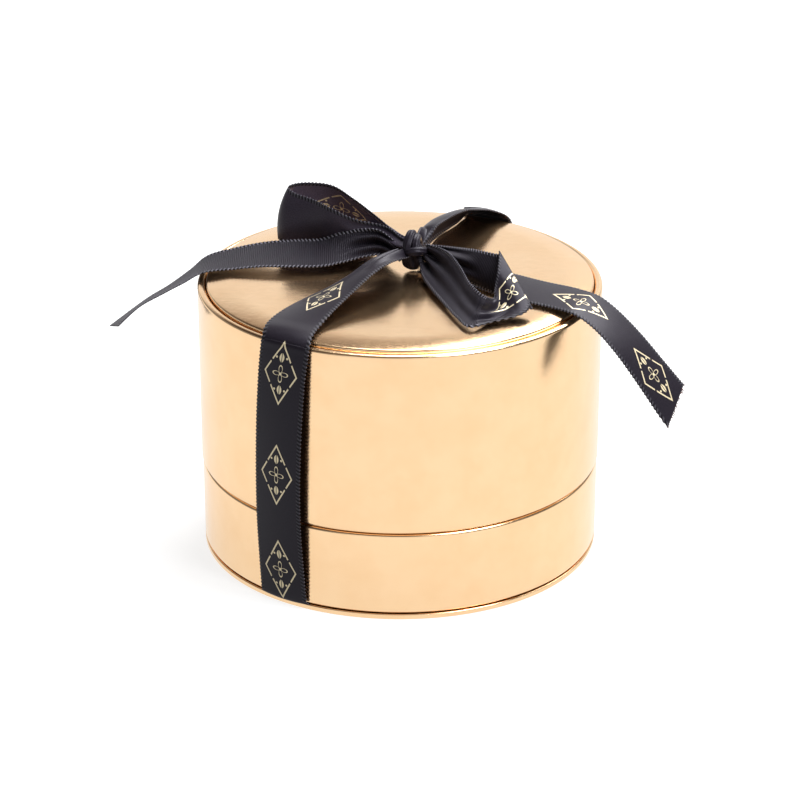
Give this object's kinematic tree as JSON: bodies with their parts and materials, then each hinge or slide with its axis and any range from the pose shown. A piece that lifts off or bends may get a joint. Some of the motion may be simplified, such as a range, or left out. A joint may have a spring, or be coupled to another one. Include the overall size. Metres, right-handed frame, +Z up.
{
  "type": "jewellery gift box",
  "caption": "Round rigid gift box wrapped in gold foil paper, with a lift-off lid on an inner neck, a lift-out slotted pad, and a satin ribbon tied in a bow over the lid.",
  "frame": {"origin": "middle of the underside, on the table", "axes": "+Z up through the middle of the lid, -Y towards the viewer of the picture, +X to the viewer's right"},
  "size_m": [0.171, 0.12, 0.1021],
  "materials": {
    "board": "matte",
    "gold_foil": "gloss",
    "lining_paper": "matte",
    "foam": "matte",
    "velvet": "matte",
    "tab_ribbon": "satin",
    "satin_ribbon": "satin"
  },
  "bodies": {
    "base": {"base_cover_board": "board", "base_cover_foil": "gold_foil", "ribbon_under_base": "satin_ribbon", "base_floor_board": "board", "base_tube": "board", "base_tube_foil": "gold_foil", "neck_tube": "board", "neck_paper": "lining_paper", "base_floor_paper": "lining_paper"},
    "pad": {"pad_card": "board", "pad_foam": "foam", "pad_velvet": "velvet", "pad_pull_tab": "tab_ribbon"},
    "lid": {"lid_tube": "board", "lid_tube_foil": "gold_foil", "lid_top_board": "board", "lid_top_foil": "gold_foil", "lid_top_paper": "lining_paper", "lid_wall_paper": "lining_paper"},
    "bow": {"ribbon_front_strap": "satin_ribbon", "ribbon_front_band": "satin_ribbon", "ribbon_back_strap": "satin_ribbon", "ribbon_back_band": "satin_ribbon", "ribbon_knot": "satin_ribbon", "ribbon_left_loop": "satin_ribbon", "ribbon_right_loop": "satin_ribbon", "ribbon_left_tail": "satin_ribbon", "ribbon_right_tail": "satin_ribbon"}
  },
  "joints": [
    {"name": "lid_lift", "type": "slide", "parent": "base", "child": "lid", "axis": [0, 0, 1], "range_m": [0, 0.06]},
    {"name": "pad_lift", "type": "slide", "parent": "base", "child": "pad", "axis": [0, 0, 1], "range_m": [0, 0.042]},
    {"name": "ribbon_slip", "type": "slide", "parent": "lid", "child": "bow", "axis": [0, 0, 1], "range_m": [0, 0.09]}
  ]
}
